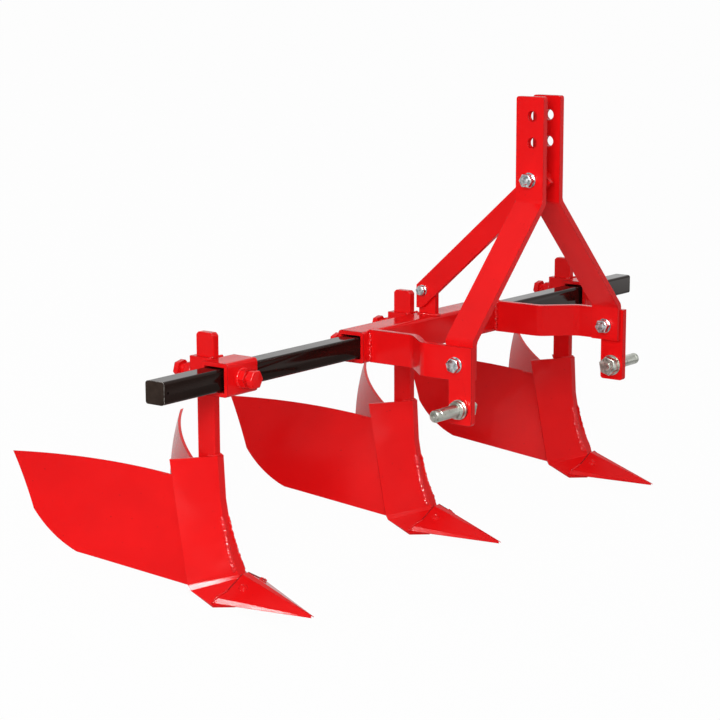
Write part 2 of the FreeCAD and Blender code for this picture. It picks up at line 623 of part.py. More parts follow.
for side, s in SIDES.items():
    pin = new_body(f"link_pin_{side}")
    face_x = ear_x + t
    for dia, start, stop in ((S["link_pin_dia"], face_x, S["link_pin_end"]),
                             (S["link_collar_dia"], face_x, face_x + S["link_collar_thick"]),
                             (S["link_stub_dia"], ear_x - S["link_nut_high"] - S["link_stub_over"],
                              face_x)):
        pad(pin, circle(sketch(pin, "YZ", start * s), 0, 0, dia), stop - start, back=s < 0)
    pad(pin, hexagon(sketch(pin, "YZ", ear_x * s), 0, 0, S["link_nut_af"]), S["link_nut_high"],
        back=s > 0)
    place(pin, 0, S["link_pin_y"], S["link_pin_height"])

# ---------------------------------------------------------------- check and write
doc.recompute()
bodies = [o for o in doc.Objects if o.isDerivedFrom("PartDesign::Body")]
for item in doc.Objects:
    if "Invalid" in item.State or "Error" in item.State:
        raise RuntimeError(f"{item.Name} did not build")
os.makedirs("parts", exist_ok=True)
for body in bodies:
    if not body.Shape.isValid() or len(body.Shape.Solids) != 1:
        raise RuntimeError(f"{body.Label} is not one sound solid")
    body.Shape.exportStep(f"parts/{body.Label}.step")
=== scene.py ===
import json
import math
import random

import bmesh
import bpy
from mathutils import Matrix, Vector
from mathutils.bvhtree import BVHTree


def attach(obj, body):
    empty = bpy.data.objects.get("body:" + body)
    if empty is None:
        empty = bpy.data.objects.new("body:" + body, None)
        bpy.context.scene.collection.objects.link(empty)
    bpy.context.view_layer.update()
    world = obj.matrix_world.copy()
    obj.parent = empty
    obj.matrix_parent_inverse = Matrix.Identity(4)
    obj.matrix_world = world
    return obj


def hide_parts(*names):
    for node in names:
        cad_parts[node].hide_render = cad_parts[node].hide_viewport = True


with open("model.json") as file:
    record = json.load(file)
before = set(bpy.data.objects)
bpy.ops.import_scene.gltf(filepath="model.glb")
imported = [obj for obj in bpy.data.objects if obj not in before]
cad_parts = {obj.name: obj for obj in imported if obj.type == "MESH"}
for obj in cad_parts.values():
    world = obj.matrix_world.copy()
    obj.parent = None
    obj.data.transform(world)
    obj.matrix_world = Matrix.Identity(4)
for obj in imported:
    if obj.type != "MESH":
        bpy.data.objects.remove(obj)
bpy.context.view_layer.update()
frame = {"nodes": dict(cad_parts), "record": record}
nodes = frame["nodes"]

# ---------------------------------------------------------------- the studio
# A pale floor and a white surround, a soft box on the machine's right and a broad overhead
# fill.  Two small boxes light nothing but the gloss: they show only as highlights.  The
# camera stands in front of the machine's right-hand end.
scene = bpy.context.scene
scene.view_settings.view_transform = "Standard"

CAMERA_PLACE = (-3.26731, -2.06567, 1.66460)
CAMERA_TURN = (70.0268, -11.7161, -51.5624)
CAMERA_LENS = 103.9
SURROUND_LIGHT = 0.4
SURROUND_SEEN = 1.0
FLOOR_WHITE = 0.975
FLOOR_MIRRORED = 0.4            # share of its white that the floor shows in a mirror

camera = bpy.data.objects.new("camera", bpy.data.cameras.new("camera"))
camera.location = CAMERA_PLACE
camera.rotation_euler = [math.radians(a) for a in CAMERA_TURN]
camera.data.lens = CAMERA_LENS
camera.data.sensor_width = 36
camera.data.clip_end = 60
scene.collection.objects.link(camera)
scene.camera = camera


def seen_directly(tree, mirrored=1.0):
    """How white a backdrop shows: 1 to the camera or through glass, a set amount in a mirror."""
    path = tree.nodes.new("ShaderNodeLightPath")
    shown = path.outputs["Is Camera Ray"]
    for name, amount in (("Is Glossy Ray", mirrored), ("Is Transmission Ray", 1.0)):
        part = tree.nodes.new("ShaderNodeMath")
        part.operation = "MULTIPLY"
        part.inputs[1].default_value = amount
        tree.links.new(path.outputs[name], part.inputs[0])
        most = tree.nodes.new("ShaderNodeMath")
        most.operation = "MAXIMUM"
        tree.links.new(shown, most.inputs[0])
        tree.links.new(part.outputs[0], most.inputs[1])
        shown = most.outputs[0]
    return shown


world = bpy.data.worlds.new("surround")
world.use_nodes = True
scene.world = world
sky = world.node_tree.nodes["Background"]
sky.inputs["Color"].default_value = (1, 1, 1, 1)
blend = world.node_tree.nodes.new("ShaderNodeMapRange")
blend.inputs["To Min"].default_value = SURROUND_LIGHT
blend.inputs["To Max"].default_value = SURROUND_SEEN
world.node_tree.links.new(seen_directly(world.node_tree), blend.inputs["Value"])
world.node_tree.links.new(blend.outputs[0], sky.inputs["Strength"])


def lamp(name, place, aim, width, power, mirrored=False):
    """Square soft box turned to face a point, for plain light or only for its reflection."""
    light = bpy.data.lights.new(name, "AREA")
    light.size = width
    light.energy = power
    thing = bpy.data.objects.new(name, light)
    thing.location = place
    thing.rotation_euler = (Vector(aim) - Vector(place)).to_track_quat("-Z", "Y").to_euler()
    thing.visible_diffuse = not mirrored
    thing.visible_glossy = mirrored
    scene.collection.objects.link(thing)


machine_middle = (0, 0, 0.35)
lamp("side_box", (-3.5, -1.2, 2.1), machine_middle, 1.8, 104)
lamp("overhead_fill", (-0.3, -0.2, 3.4), machine_middle, 2.4, 20)
lamp("sparkle", (-3.1, -1.3, 3.05), (-0.75, -0.15, 0.15), 0.9, 320, True)
lamp("glint", (-3.8, 0.3, 3.0), (-0.6, -0.2, 0.1), 0.7, 130, True)

floor_material = bpy.data.materials.new("floor")
floor_material.use_nodes = True
tree = floor_material.node_tree
paper = tree.nodes["Principled BSDF"]
paper.inputs["Base Color"].default_value = (0.6, 0.6, 0.6, 1)
paper.inputs["Roughness"].default_value = 0.9
paper.inputs["Specular IOR Level"].default_value = 0
white = tree.nodes.new("ShaderNodeEmission")
white.inputs["Strength"].default_value = 1.0
share_of_white = tree.nodes.new("ShaderNodeMath")
share_of_white.operation = "MULTIPLY"
share_of_white.inputs[1].default_value = FLOOR_WHITE
mixed = tree.nodes.new("ShaderNodeMixShader")
tree.links.new(seen_directly(tree, FLOOR_MIRRORED), share_of_white.inputs[0])
tree.links.new(share_of_white.outputs[0], mixed.inputs["Fac"])
tree.links.new(paper.outputs[0], mixed.inputs[1])
tree.links.new(white.outputs[0], mixed.inputs[2])
tree.links.new(mixed.outputs[0], tree.nodes["Material Output"].inputs["Surface"])
shape = bmesh.new()
bmesh.ops.create_grid(shape, x_segments=1, y_segments=1, size=20)
floor = bpy.data.objects.new("floor", bpy.data.meshes.new("floor"))
shape.to_mesh(floor.data)
shape.free()
floor.data.materials.append(floor_material)
scene.collection.objects.link(floor)

# ---------------------------------------------------------------- the toolbar
# A 40 mm square tube with rolled corners, painted black, its ends knocked bare along the
# rims and closed by pressed-in plastic plugs.  A small hole is drilled by its right end.
LEAN = math.radians(15.075)     # at rest the machine leans back by this, on its wings' heels
REST = Matrix.Translation((0, -0.08535, -0.00994)) @ Matrix.Rotation(-LEAN, 4, "X")
LEVEL = REST.inverted()
BAR_HEIGHT = 405
BAR_HALF = 20
HOLE_AT = -764.5
HOLE_ACROSS = 4.5

body_of = {node: body for body, members in frame["record"]["behaviour"]["bodies"].items()
           for node in members}
slot_of = {part["node"]: part["material_slot"] for part in frame["record"]["subparts"]}


class Finish:
    """Node material for one finish: clouds of colour, specks, uneven gloss and a fine grain."""

    def __init__(self, name, roughness, metallic=0.0, specular=0.5, tint=(1, 1, 1)):
        self.material = bpy.data.materials.new(name)
        self.material.use_nodes = True
        self.tree = self.material.node_tree
        self.shader = self.tree.nodes["Principled BSDF"]
        self.shader.inputs["Metallic"].default_value = metallic
        self.shader.inputs["Specular IOR Level"].default_value = specular
        self.shader.inputs["Specular Tint"].default_value = (*tint, 1)
        self.spot = self.tree.nodes.new("ShaderNodeTexCoord").outputs["Object"]
        self.colour = None
        self.bump = None
        self.drive("Roughness", self.noise(38), *roughness)

    def noise(self, scale, stretch=(1, 1, 1), detail=4.0):
        mapping = self.tree.nodes.new("ShaderNodeMapping")
        mapping.inputs["Scale"].default_value = [scale * s for s in stretch]
        pattern = self.tree.nodes.new("ShaderNodeTexNoise")
        pattern.inputs["Scale"].default_value = 1
        pattern.inputs["Detail"].default_value = detail
        self.tree.links.new(self.spot, mapping.inputs["Vector"])
        self.tree.links.new(mapping.outputs[0], pattern.inputs["Vector"])
        return pattern.outputs["Fac"]

    def range(self, source, low, high, start=0.3, stop=0.7):
        node = self.tree.nodes.new("ShaderNodeMapRange")
        for socket, amount in (("From Min", start), ("From Max", stop),
                               ("To Min", low), ("To Max", high)):
            node.inputs[socket].default_value = amount
        self.tree.links.new(source, node.inputs["Value"])
        return node.outputs[0]

    def drive(self, socket, source, low, high):
        self.tree.links.new(self.range(source, low, high), self.shader.inputs[socket])

    def shade(self, source, first, second, start=0.3, stop=0.7):
        """Blend from the colour so far, or from first, to second where source is high."""
        mix = self.tree.nodes.new("ShaderNodeMix")
        mix.data_type = "RGBA"
        self.tree.links.new(self.range(source, 0, 1, start, stop), mix.inputs["Factor"])
        if self.colour:
            self.tree.links.new(self.colour, mix.inputs["A"])
        else:
            mix.inputs["A"].default_value = (*first, 1)
        mix.inputs["B"].default_value = (*second, 1)
        self.colour = mix.outputs["Result"]
        self.tree.links.new(self.colour, self.shader.inputs["Base Color"])

    def grain(self, source, depth, strength=1.0):
        node = self.tree.nodes.new("ShaderNodeBump")
        node.inputs["Distance"].default_value = depth
        node.inputs["Strength"].default_value = strength
        self.tree.links.new(source, node.inputs["Height"])
        if self.bump:
            self.tree.links.new(self.bump, node.inputs["Normal"])
        self.bump = node.outputs[0]
        self.tree.links.new(self.bump, self.shader.inputs["Normal"])


black = Finish("black_paint", (0.06, 0.12), specular=0.17, tint=(0.85, 0.55, 0.45))
black.shade(black.noise(5, (1, 6, 6)), (0.005, 0.0025, 0.002), (0.012, 0.006, 0.005))
black.shade(black.noise(420), None, (0.05, 0.04, 0.035), 0.74, 0.80)
black.grain(black.noise(300), 0.0001, 0.3)

worn = Finish("worn_rim", (0.3, 0.55))
worn.shade(worn.noise(90), (0.02, 0.014, 0.012), (0.55, 0.52, 0.48), 0.40, 0.50)
worn.grain(worn.noise(500), 0.0002, 0.4)

plug = Finish("black_plastic", (0.45, 0.6), specular=0.12, tint=(0.9, 0.7, 0.6))
plug.shade(plug.noise(60), (0.012, 0.007, 0.005), (0.026, 0.017, 0.013))
plug.grain(plug.noise(900), 0.0001, 0.5)


def new_piece(name, shape, body, slot, *materials):
    """Close a bmesh into an object that rides on a body."""
    mesh = bpy.data.meshes.new(name)
    shape.to_mesh(mesh)
    shape.free()
    for material in materials:
        mesh.materials.append(material.material)
    piece = bpy.data.objects.new(name, mesh)
    scene.collection.objects.link(piece)
    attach(piece, body)
    return piece


def along(edge, axes, near):
    way = (LEVEL.to_3x3() @ (edge.verts[1].co - edge.verts[0].co)).normalized()
    return any(abs(way.dot(Vector(axis))) > near for axis in axes)


def merged(node):
    """A copy of a CAD piece's mesh with its doubled corners and its flat facets merged."""
    shape = bmesh.new()
    shape.from_mesh(nodes[node].data)
    bmesh.ops.remove_doubles(shape, verts=shape.verts, dist=1e-5)
    bmesh.ops.dissolve_limit(shape, angle_limit=math.radians(0.2), verts=shape.verts,
                             edges=shape.edges)
    return shape


def dressed(node, finish, edge_finish_and_shade, edge, fold=None, axes=(), near=0.999, least=15, steps=2,
            limit=28):
    """A CAD piece with its edges rounded by edge millimetres, and its press-brake folds by fold."""
    shape = merged(node)
    if fold:
        folds = [e for e in shape.edges if len(e.link_faces) == 2 and along(e, axes, near)
                 and math.radians(least) < e.calc_face_angle() < math.radians(60)]
        bmesh.ops.bevel(shape, geom=folds, offset=fold / 1000, affect="EDGES", segments=4,
                        profile=0.5, material=-1, clamp_overlap=True)
    for face in shape.faces:
        face.smooth = True
    piece = new_piece(node + "_dressed", shape, body_of[node], slot_of[node], finish, edge_finish_and_shade)
    rounding = piece.modifiers.new("rounding", "BEVEL")
    rounding.width = edge / 1000
    rounding.segments = steps
    rounding.limit_method = "ANGLE"
    rounding.angle_limit = math.radians(limit)
    rounding.use_clamp_overlap = True
    # The rounded edges take the edge material: worn bare steel on the bar, plain paint on the plugs and
    # shanks, and painted shade on every other piece.
    rounding.material = 1
    even = piece.modifiers.new("even_shading", "WEIGHTED_NORMAL")
    even.keep_sharp = True
    even.weight = 80
    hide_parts(node)
    return piece


bar = dressed("toolbar", black, worn, 1.3)
cutter_shape = bmesh.new()
hole_place = REST @ Matrix.Translation((HOLE_AT / 1000, -BAR_HALF / 1000, BAR_HEIGHT / 1000))
bmesh.ops.create_cone(cutter_shape, cap_ends=True, segments=20, radius1=HOLE_ACROSS / 2000,
                      radius2=HOLE_ACROSS / 2000, depth=0.02,
                      matrix=hole_place @ Matrix.Rotation(math.pi / 2, 4, "X"))
cutter = bpy.data.objects.new("drill", bpy.data.meshes.new("drill"))
cutter_shape.to_mesh(cutter.data)
cutter_shape.free()
scene.collection.objects.link(cutter)
drilling = bar.modifiers.new("drilling", "BOOLEAN")
drilling.object = cutter
drilling.solver = "EXACT"
bpy.context.view_layer.update()
graph = bpy.context.evaluated_depsgraph_get()
drilled = bpy.data.meshes.new_from_object(bar.evaluated_get(graph))
bar.modifiers.clear()
bar.data = drilled
bpy.data.objects.remove(cutter)
for side in ("left", "right"):
    dressed(f"toolbar_cap_{side}", plug, plug, 0.6)

# ---------------------------------------------------------------- clamps, centre sleeve and sockets
# Square tubes that slide on the bar and channel sockets that hold the shanks.  All are mild
# steel, welded together and sprayed red in one go, so the enamel runs over every weld.
BOX_HALF = 30
SHIFT = 1.7                    # the screws push the clamps back and the sleeve forward by this
SPACING = 587
SLEEVE_SCREW = 207
BOSS_FLATS = 30
SOCKET_DEEP = 48.6
SOCKET_HALF = 15.8
WELD = 2.6

red = Finish("red_enamel", (0.1, 0.19), specular=0.095)
red.shade(red.noise(7), (0.80, 0.0065, 0.0075), (0.70, 0.0055, 0.0065))
red.shade(red.noise(190, detail=1.0), None, (0.5, 0.005, 0.006), 0.765, 0.80)
red.grain(red.noise(55), 0.0004, 0.10)
red.grain(red.noise(420), 0.00012, 0.25)

# Painted shade: a dark red on the rounded edges of the red plates and on the share's seams, standing in for
# edges turned from the light and for the shadow in gaps and steps between parts.
red_painted_edge_shade = Finish("red_enamel_painted_edge_shade", (0.16, 0.28), specular=0.13)
red_painted_edge_shade.shade(red_painted_edge_shade.noise(60), (0.34, 0.005, 0.006), (0.20, 0.004, 0.005))
red_painted_edge_shade.grain(red_painted_edge_shade.noise(420), 0.00012, 0.25)

puddled = Finish("red_enamel_weld", (0.05, 0.12), specular=0.35)
puddled.shade(puddled.noise(7), (0.80, 0.0065, 0.0075), (0.66, 0.0055, 0.0065))
puddled.grain(puddled.noise(330), 0.0003, 0.35)

chance = random.Random(11)


def spot(x, y, z):
    """Place in metres of a point given in millimetres on the machine as it stands level."""
    return REST @ (Vector((x, y, z)) / 1000)


def weld_bead(run, radius, pitch=0.62, wander=0.12, flat=0.85, face=(0, 0, 1)):
    """Overlapping ripples of weld metal along a run of points, flattened towards a face."""
    bead = bmesh.new()
    points = [spot(*p) for p in run]
    for start, stop in zip(points, points[1:]):
        way = stop - start
        across = (REST.to_3x3() @ Vector(face)).cross(way)
        if across.length < 1e-6:
            across = way.orthogonal()
        across.normalize()
        ahead = way.normalized()
        turn = Matrix((ahead, across, ahead.cross(across))).transposed().to_4x4()
        count = max(1, round(way.length / (radius * pitch / 1000)))
        for n in range(count + 1):
            size = radius / 1000 * chance.uniform(1 - wander, 1 + wander)
            at = start + way * n / count
            at += Vector([chance.uniform(-1, 1) * size * wander for _ in range(3)])
            bmesh.ops.create_uvsphere(
                bead, u_segments=8, v_segments=5, radius=size,
                matrix=Matrix.Translation(at) @ turn @ Matrix.Diagonal((0.8, 1, flat, 1)))
    for face in bead.faces:
        face.smooth = True
    return bead


def add(shape, part, place=None):
    """Join a finished bmesh to another, moved to its place."""
    mesh = bpy.data.meshes.new("part")
    part.to_mesh(mesh)
    part.free()
    if place:
        mesh.transform(place)
    shape.from_mesh(mesh)
    bpy.data.meshes.remove(mesh)


def welds(name, body, runs, radius=WELD, finish=puddled, **kind):
    shape = bmesh.new()
    for run in runs:
        add(shape, weld_bead(run, radius, **kind))
    return new_piece(name, shape, body, "red_enamel", finish)


def ring(x, y, z, radius, count=18):
    """Closed run of points round an axis that lies fore and aft."""
    turns = [math.tau * n / count for n in range(count + 1)]
    return [(x + radius * math.cos(a), y, z + radius * math.sin(a)) for a in turns]


CENTRES = {"left": SPACING, "centre": 0, "right": -SPACING}
SHIFTED = {"left": -SHIFT, "centre": SHIFT, "right": -SHIFT}
BOSS_ROUND = BOSS_FLATS / 2 + 1.2
SIDE_RUN = 29                  # half the height of the welds down a socket's sides
TOP_RUN_GAP = 9                # half the gap left between the two welds over its top
PROUD = 0.6                    # how far those welds stand off the socket's sides and top
BEHIND = 0.8                   # and how far the side ones stand behind the box
dressed("sleeve", red, red_painted_edge_shade, 1.2)
for side in ("left", "right"):
    dressed(f"clamp_{side}", red, red_painted_edge_shade, 1.2)
for tag, x in CENTRES.items():
    dressed(f"socket_{tag}", red, red_painted_edge_shade, 1.2)
    rear = BOX_HALF + SHIFTED[tag]
    top = BAR_HEIGHT + BOX_HALF
    carrier = body_of[f"socket_{tag}"]
    runs = [[(x + s * (SOCKET_HALF + PROUD), rear + BEHIND, BAR_HEIGHT - SIDE_RUN),
             (x + s * (SOCKET_HALF + PROUD), rear + BEHIND, BAR_HEIGHT + SIDE_RUN)] for s in (1, -1)]
    runs.append([(x - SOCKET_HALF, rear + PROUD, top), (x - TOP_RUN_GAP, rear + PROUD, top)])
    runs.append([(x + TOP_RUN_GAP, rear + PROUD, top), (x + SOCKET_HALF, rear + PROUD, top)])
    runs.append(ring(x, rear + SOCKET_DEEP + 0.5, BAR_HEIGHT, BOSS_ROUND))
    if tag == "centre":
        runs += [ring(x + s * SLEEVE_SCREW, rear + 0.5, BAR_HEIGHT, BOSS_ROUND) for s in (1, -1)]
    else:
        runs.append(ring(x, -BOX_HALF - SHIFT - 0.5, BAR_HEIGHT, BOSS_ROUND))
    welds(f"box_welds_{tag}", carrier, runs)

# ---------------------------------------------------------------- set screws
# Hexagon-headed screws that lock the bar and the shanks: painted with the frame, their
# threads half filled with enamel and the corners of the heads rounded off by spanners.
SCREW_RADIUS = 10
SCREW_FLATS = 30
SCREW_HEAD = 12.5
SOCKET_SCREW_OUT = 37.3        # from a screw's tip to the underside of its head
BAR_SCREW_OUT = 32.7
SHANK_DEEP = 40                # fore and aft; the socket's screw bears on the shank's back
SEAT = 0.3                     # play between a box and the shank behind it
SHANK_FRONT = {tag: BOX_HALF + SEAT + SHIFTED[tag] for tag in CENTRES}


def turned(rows, sides=32):
    """Bmesh turned about the local Z axis from rows of (radius, height) in millimetres."""
    shape = bmesh.new()
    line = [shape.verts.new((r / 1000, 0, z / 1000)) for r, z in rows]
    edges = [shape.edges.new(pair) for pair in zip(line, line[1:])]
    bmesh.ops.spin(shape, geom=line + edges, axis=(0, 0, 1), cent=(0, 0, 0), dvec=(0, 0, 0),
                   angle=math.tau, steps=sides, use_merge=True)
    bmesh.ops.remove_doubles(shape, verts=shape.verts, dist=1e-6)
    bmesh.ops.recalc_face_normals(shape, faces=shape.faces)
    for face in shape.faces:
        face.smooth = True
    return shape


def threaded(radius, low, high, pitch=2.2, depth=0.7):
    """Rows for a threaded shank with a chamfered end."""
    rows = [(0, high), (radius - 1.6, high), (radius - 0.4, high - 1.2)]
    z = high - 1.8
    while z - pitch > low:
        rows += [(radius, z), (radius, z - pitch * 0.25), (radius - depth, z - pitch * 0.6)]
        z -= pitch
    return rows + [(radius, z), (radius, low), (0, low)]


def hexagon_block(flats, low, high, rounding):
    """Six-sided head with its top corners turned off and every edge eased."""
    shape = bmesh.new()
    bmesh.ops.create_cone(shape, cap_ends=True, segments=6, radius1=flats / math.sqrt(3) / 1000,
                          radius2=flats / math.sqrt(3) / 1000, depth=(high - low) / 1000,
                          matrix=Matrix.Translation((0, 0, (low + high) / 2000)))
    top = [e for e in shape.edges if all(v.co.z > (high - 0.01) / 1000 for v in e.verts)]
    bmesh.ops.bevel(shape, geom=top, offset=rounding * 1.2 / 1000, affect="EDGES", segments=3,
                    profile=0.5, material=-1, clamp_overlap=True)
    sides = [e for e in shape.edges if abs(e.verts[0].co.z - e.verts[1].co.z) > (high - low) / 2500]
    bmesh.ops.bevel(shape, geom=sides, offset=rounding * 0.6 / 1000, affect="EDGES", segments=2,
                    profile=0.5, material=-1, clamp_overlap=True)
    return shape


def facing(point, way, turn=0):
    """Matrix that stands a turned piece on a point with its Z axis along way."""
    turn_to = Vector(way).to_track_quat("Z", "Y").to_matrix().to_4x4()
    return REST @ Matrix.Translation(Vector(point) / 1000) @ turn_to @ Matrix.Rotation(turn, 4, "Z")


def set_screw(node, point, way, reach, turn):
    shape = bmesh.new()
    place = facing(point, way, turn)
    add(shape, turned(threaded(SCREW_RADIUS, 0, reach + 1)), place)
    add(shape, hexagon_block(SCREW_FLATS, reach, reach + SCREW_HEAD, 2.6), place)
    piece = new_piece(node + "_dressed", shape, body_of[node], "red_enamel", red)
    piece.data.shade_smooth()
    piece.data.set_sharp_from_angle(angle=math.radians(40))
    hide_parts(node)


for tag, x in CENTRES.items():
    shank_back = SHANK_FRONT[tag] + SHANK_DEEP
    set_screw(f"socket_screw_{tag}", (x, shank_back, BAR_HEIGHT), (0, 1, 0), SOCKET_SCREW_OUT, 0.3)
for side, s in (("left", 1), ("right", -1)):
    set_screw(f"sleeve_screw_{side}", (s * SLEEVE_SCREW, BAR_HALF, BAR_HEIGHT), (0, 1, 0),
              BAR_SCREW_OUT, 0.2)
    set_screw(f"clamp_screw_{side}", (s * SPACING, -BAR_HALF, BAR_HEIGHT), (0, -1, 0),
              BAR_SCREW_OUT, 0.5)

# ---------------------------------------------------------------- shanks
# Flat bars, 15 by 40 mm, that hang in the sockets.  Their tops are nipped off at the corners
# and the mill's edges show softly through the enamel.
for tag in CENTRES:
    dressed(f"shank_{tag}", red, red, 1.4, steps=3)

# ---------------------------------------------------------------- breast plates and frogs
# A 6 mm plate folded to a vee and bent forward at the foot, welded to the shank at its top.
# The nose is built up with two rough runs of weld, ground over before it was sprayed.
RAISED = 2 * SHIFT * math.tan(LEAN)
NOSE_WELD_HEIGHTS = (148, 132, 120, 95, 80.5, 66.4, 57)
NOSE_WELD_TOP = 8.8            # off the middle at its upper end
NOSE_WELD_FOOT = 14.2          # and at its lower end
NOSE_WELD_SPREAD = 1.4         # above 1, it spreads mostly towards the foot
NOSE_WELD_PROUD = 0.3          # how far it stands off the flank
NOSE_WELD_RADIUS = 4.1
NOSE_WELD_FACE = (0.69, -0.65, 0.3)     # about the way in which a flank faces
SHANK_HALF = 7.5
TOP_WELD_SIDE = 9.6            # off the middle, beside the shank
TOP_WELD_HEIGHT = 259
FAR = 400                      # a line cast at a piece starts this far off it


def on_body(tag, x, y, z):
    """A point measured from the front of a body's shank, as a point on the whole machine."""
    return Vector((CENTRES[tag] + x, SHANK_FRONT[tag] + y, z + (RAISED if tag == "centre" else 0)))


def skin(node):
    """The surface of a CAD piece on the level machine, for lines to be cast at."""
    shape = bmesh.new()
    shape.from_mesh(nodes[node].data)
    shape.transform(LEVEL)
    shape.normal_update()
    surface = BVHTree.FromBMesh(shape)
    shape.free()
    return surface


def met(surface, start, way):
    """Where a line from a point first meets a surface, in millimetres, and how it faces there."""
    for aside in (0, 0.01, 0.02):     # a line that slips between two facets is cast again
        from_here = (start + Vector((aside, aside, aside))) / 1000
        place, normal, _, _ = surface.ray_cast(from_here, Vector(way))
        if place:
            return place * 1000, normal
    raise ValueError(f"nothing lies on the line from {tuple(start)}")


def bend_ways(node, least=25, most=60):
    """Ways in which a vee plate's longest fold runs, on its two sides."""
    shape = merged(node)
    folds = [e for e in shape.edges if len(e.link_faces) == 2
             and math.radians(least) < e.calc_face_angle() < math.radians(most)]
    longest = max(folds, key=lambda e: e.calc_length())
    x, y, z = (LEVEL.to_3x3() @ (longest.verts[1].co - longest.verts[0].co)).normalized()
    shape.free()
    return [(x, y, z), (-x, y, z)]


def nose_run(tag, s):
    """The nose weld's line down one flank of the breast, where lines from the front meet it."""
    flank = skin(f"breast_{tag}")
    top, foot = NOSE_WELD_HEIGHTS[0], NOSE_WELD_HEIGHTS[-1]
    run = []
    for z in NOSE_WELD_HEIGHTS:
        down = ((top - z) / (top - foot)) ** NOSE_WELD_SPREAD
        x = NOSE_WELD_TOP + (NOSE_WELD_FOOT - NOSE_WELD_TOP) * down
        place, _ = met(flank, on_body(tag, s * x, -FAR, z), (0, 1, 0))
        run.append(place - Vector((0, NOSE_WELD_PROUD, 0)))
    return run


for tag in CENTRES:
    # The breast's edges are rounded wider, so that their painted shade draws a dark line where its rear
    # edge meets the wing.
    dressed(f"breast_{tag}", red, red_painted_edge_shade, 1.5, fold=3.8, axes=bend_ways(f"breast_{tag}"), near=0.97,
            least=7)
    dressed(f"frog_{tag}", red, red_painted_edge_shade, 1.0)
    body = body_of[f"breast_{tag}"]
    for s, side in ((1, "left"), (-1, "right")):
        x, y, z = NOSE_WELD_FACE
        welds(f"nose_weld_{tag}_{side}", body, [nose_run(tag, s)], NOSE_WELD_RADIUS,
              pitch=0.45, wander=0.24, flat=0.3, face=(s * x, y, z))
    runs = [[on_body(tag, x, -1.2, TOP_WELD_HEIGHT + 0.5) for x in (-SHANK_HALF, SHANK_HALF)]]
    runs += [[on_body(tag, s * TOP_WELD_SIDE, 1, TOP_WELD_HEIGHT),
              on_body(tag, s * TOP_WELD_SIDE, 14, TOP_WELD_HEIGHT - 1.5)] for s in (1, -1)]
    welds(f"top_welds_{tag}", body, runs)

# ---------------------------------------------------------------- shares
# Forged points bevelled along both cutting edges, closed to the breast by a seam and a rough
# weld at each side; the seam is a thin bead in painted shade, a dark line for the shadow in its
# step.  Two plough bolts hold each to the frog, and the paint that fills their countersunk heads
# leaves a ring round each.
PLOUGH_BOLT = (27, -77.4)      # off the middle, and ahead of the shank's front
PLOUGH_BOLT_PROUD = 0.3
PLOUGH_BOLT_HEAD = [(0, 1.5), (3.0, 1.3), (4.8, 0.6), (5.3, -0.5), (6.0, -0.5), (6.6, 0.9),
                    (7.4, 0.9), (8.4, -0.9), (0, -0.9)]
SEAM_START = (9, -60)          # by the nose
SEAM_START_PROUD = 0.4
SEAM_END = (46, -58.2)         # where the rough weld takes over
SEAM_END_PROUD = 1.1
REAR_CORNER = (66, -50, 23)    # about where the share's upper rear corner is
REAR_PROUD = (0, -0.2, 0.2)    # how the weld stands off it
HEEL_CORNER = (73, -47, 14)    # and the one below it
HEEL_SHARE = 0.93              # the weld stops short of that one


def corner(node, point):
    """The corner of a CAD piece that is nearest to a point on the level machine."""
    places = [LEVEL @ v.co * 1000 for v in nodes[node].data.vertices]
    return min(places, key=lambda place: (place - point).length)


def share_line(tag, s):
    """The share's seam and weld on one side: from the nose over its top and down its rear edge."""
    share = f"share_{tag}"
    line = []
    for (x, y), proud in ((SEAM_START, SEAM_START_PROUD), (SEAM_END, SEAM_END_PROUD)):
        place, _ = met(skin(share), on_body(tag, s * x, y, FAR), (0, 0, -1))
        line.append(place + Vector((0, 0, proud)))
    rear, heel = (corner(share, on_body(tag, s * x, y, z)) for x, y, z in (REAR_CORNER, HEEL_CORNER))
    rear += Vector(REAR_PROUD)
    return line + [rear, rear.lerp(heel, HEEL_SHARE)]


for tag in CENTRES:
    body = body_of[f"share_{tag}"]
    dressed(f"share_{tag}", red, red_painted_edge_shade, 1.2, steps=3, limit=15)
    shape = bmesh.new()
    for s in (1, -1):
        x, y = PLOUGH_BOLT
        place, normal = met(skin(f"share_{tag}"), on_body(tag, s * x, y, FAR), (0, 0, -1))
        add(shape, turned(PLOUGH_BOLT_HEAD, 28), facing(place + Vector((0, 0, PLOUGH_BOLT_PROUD)), normal))
    new_piece(f"plough_bolts_{tag}", shape, body, "red_enamel", red)
    for s, side in ((1, "left"), (-1, "right")):
        line = share_line(tag, s)
        # The seam is a thin bead in painted shade: a dark line that stands in for the shadow in the step
        # between share and breast.
        welds(f"share_seam_shade_{tag}_{side}", body, [line[:2]], 0.9, red_painted_edge_shade, wander=0.05)
        welds(f"share_weld_{tag}_{side}", body, [line[1:]], 2.0, wander=0.35)

# ---------------------------------------------------------------- wings
# Rolled 5 mm mouldboard wings welded to barrels that turn on plain pins, so that the furrow
# can be made wider or narrower.  A short weld lies at each wing's root.
ROOT_WELD_HEIGHT = 221.3
ROOT_WELD_ENDS = (85, 90.5)    # behind the shank's front

zinc_and_painted_reflection = Finish("zinc_plate", (0.12, 0.3), metallic=1.0)
# Painted reflection: big clouds darken the metal's colour, standing in for dark surroundings mirrored in
# the plating; a second pattern darkens it further in patches.
zinc_and_painted_reflection.shade(zinc_and_painted_reflection.noise(170), (0.80, 0.82, 0.83), (0.20, 0.22, 0.23))
zinc_and_painted_reflection.shade(zinc_and_painted_reflection.noise(260), None, (0.30, 0.29, 0.27), 0.62, 0.74)
zinc_and_painted_reflection.grain(zinc_and_painted_reflection.noise(500), 0.0001, 0.3)

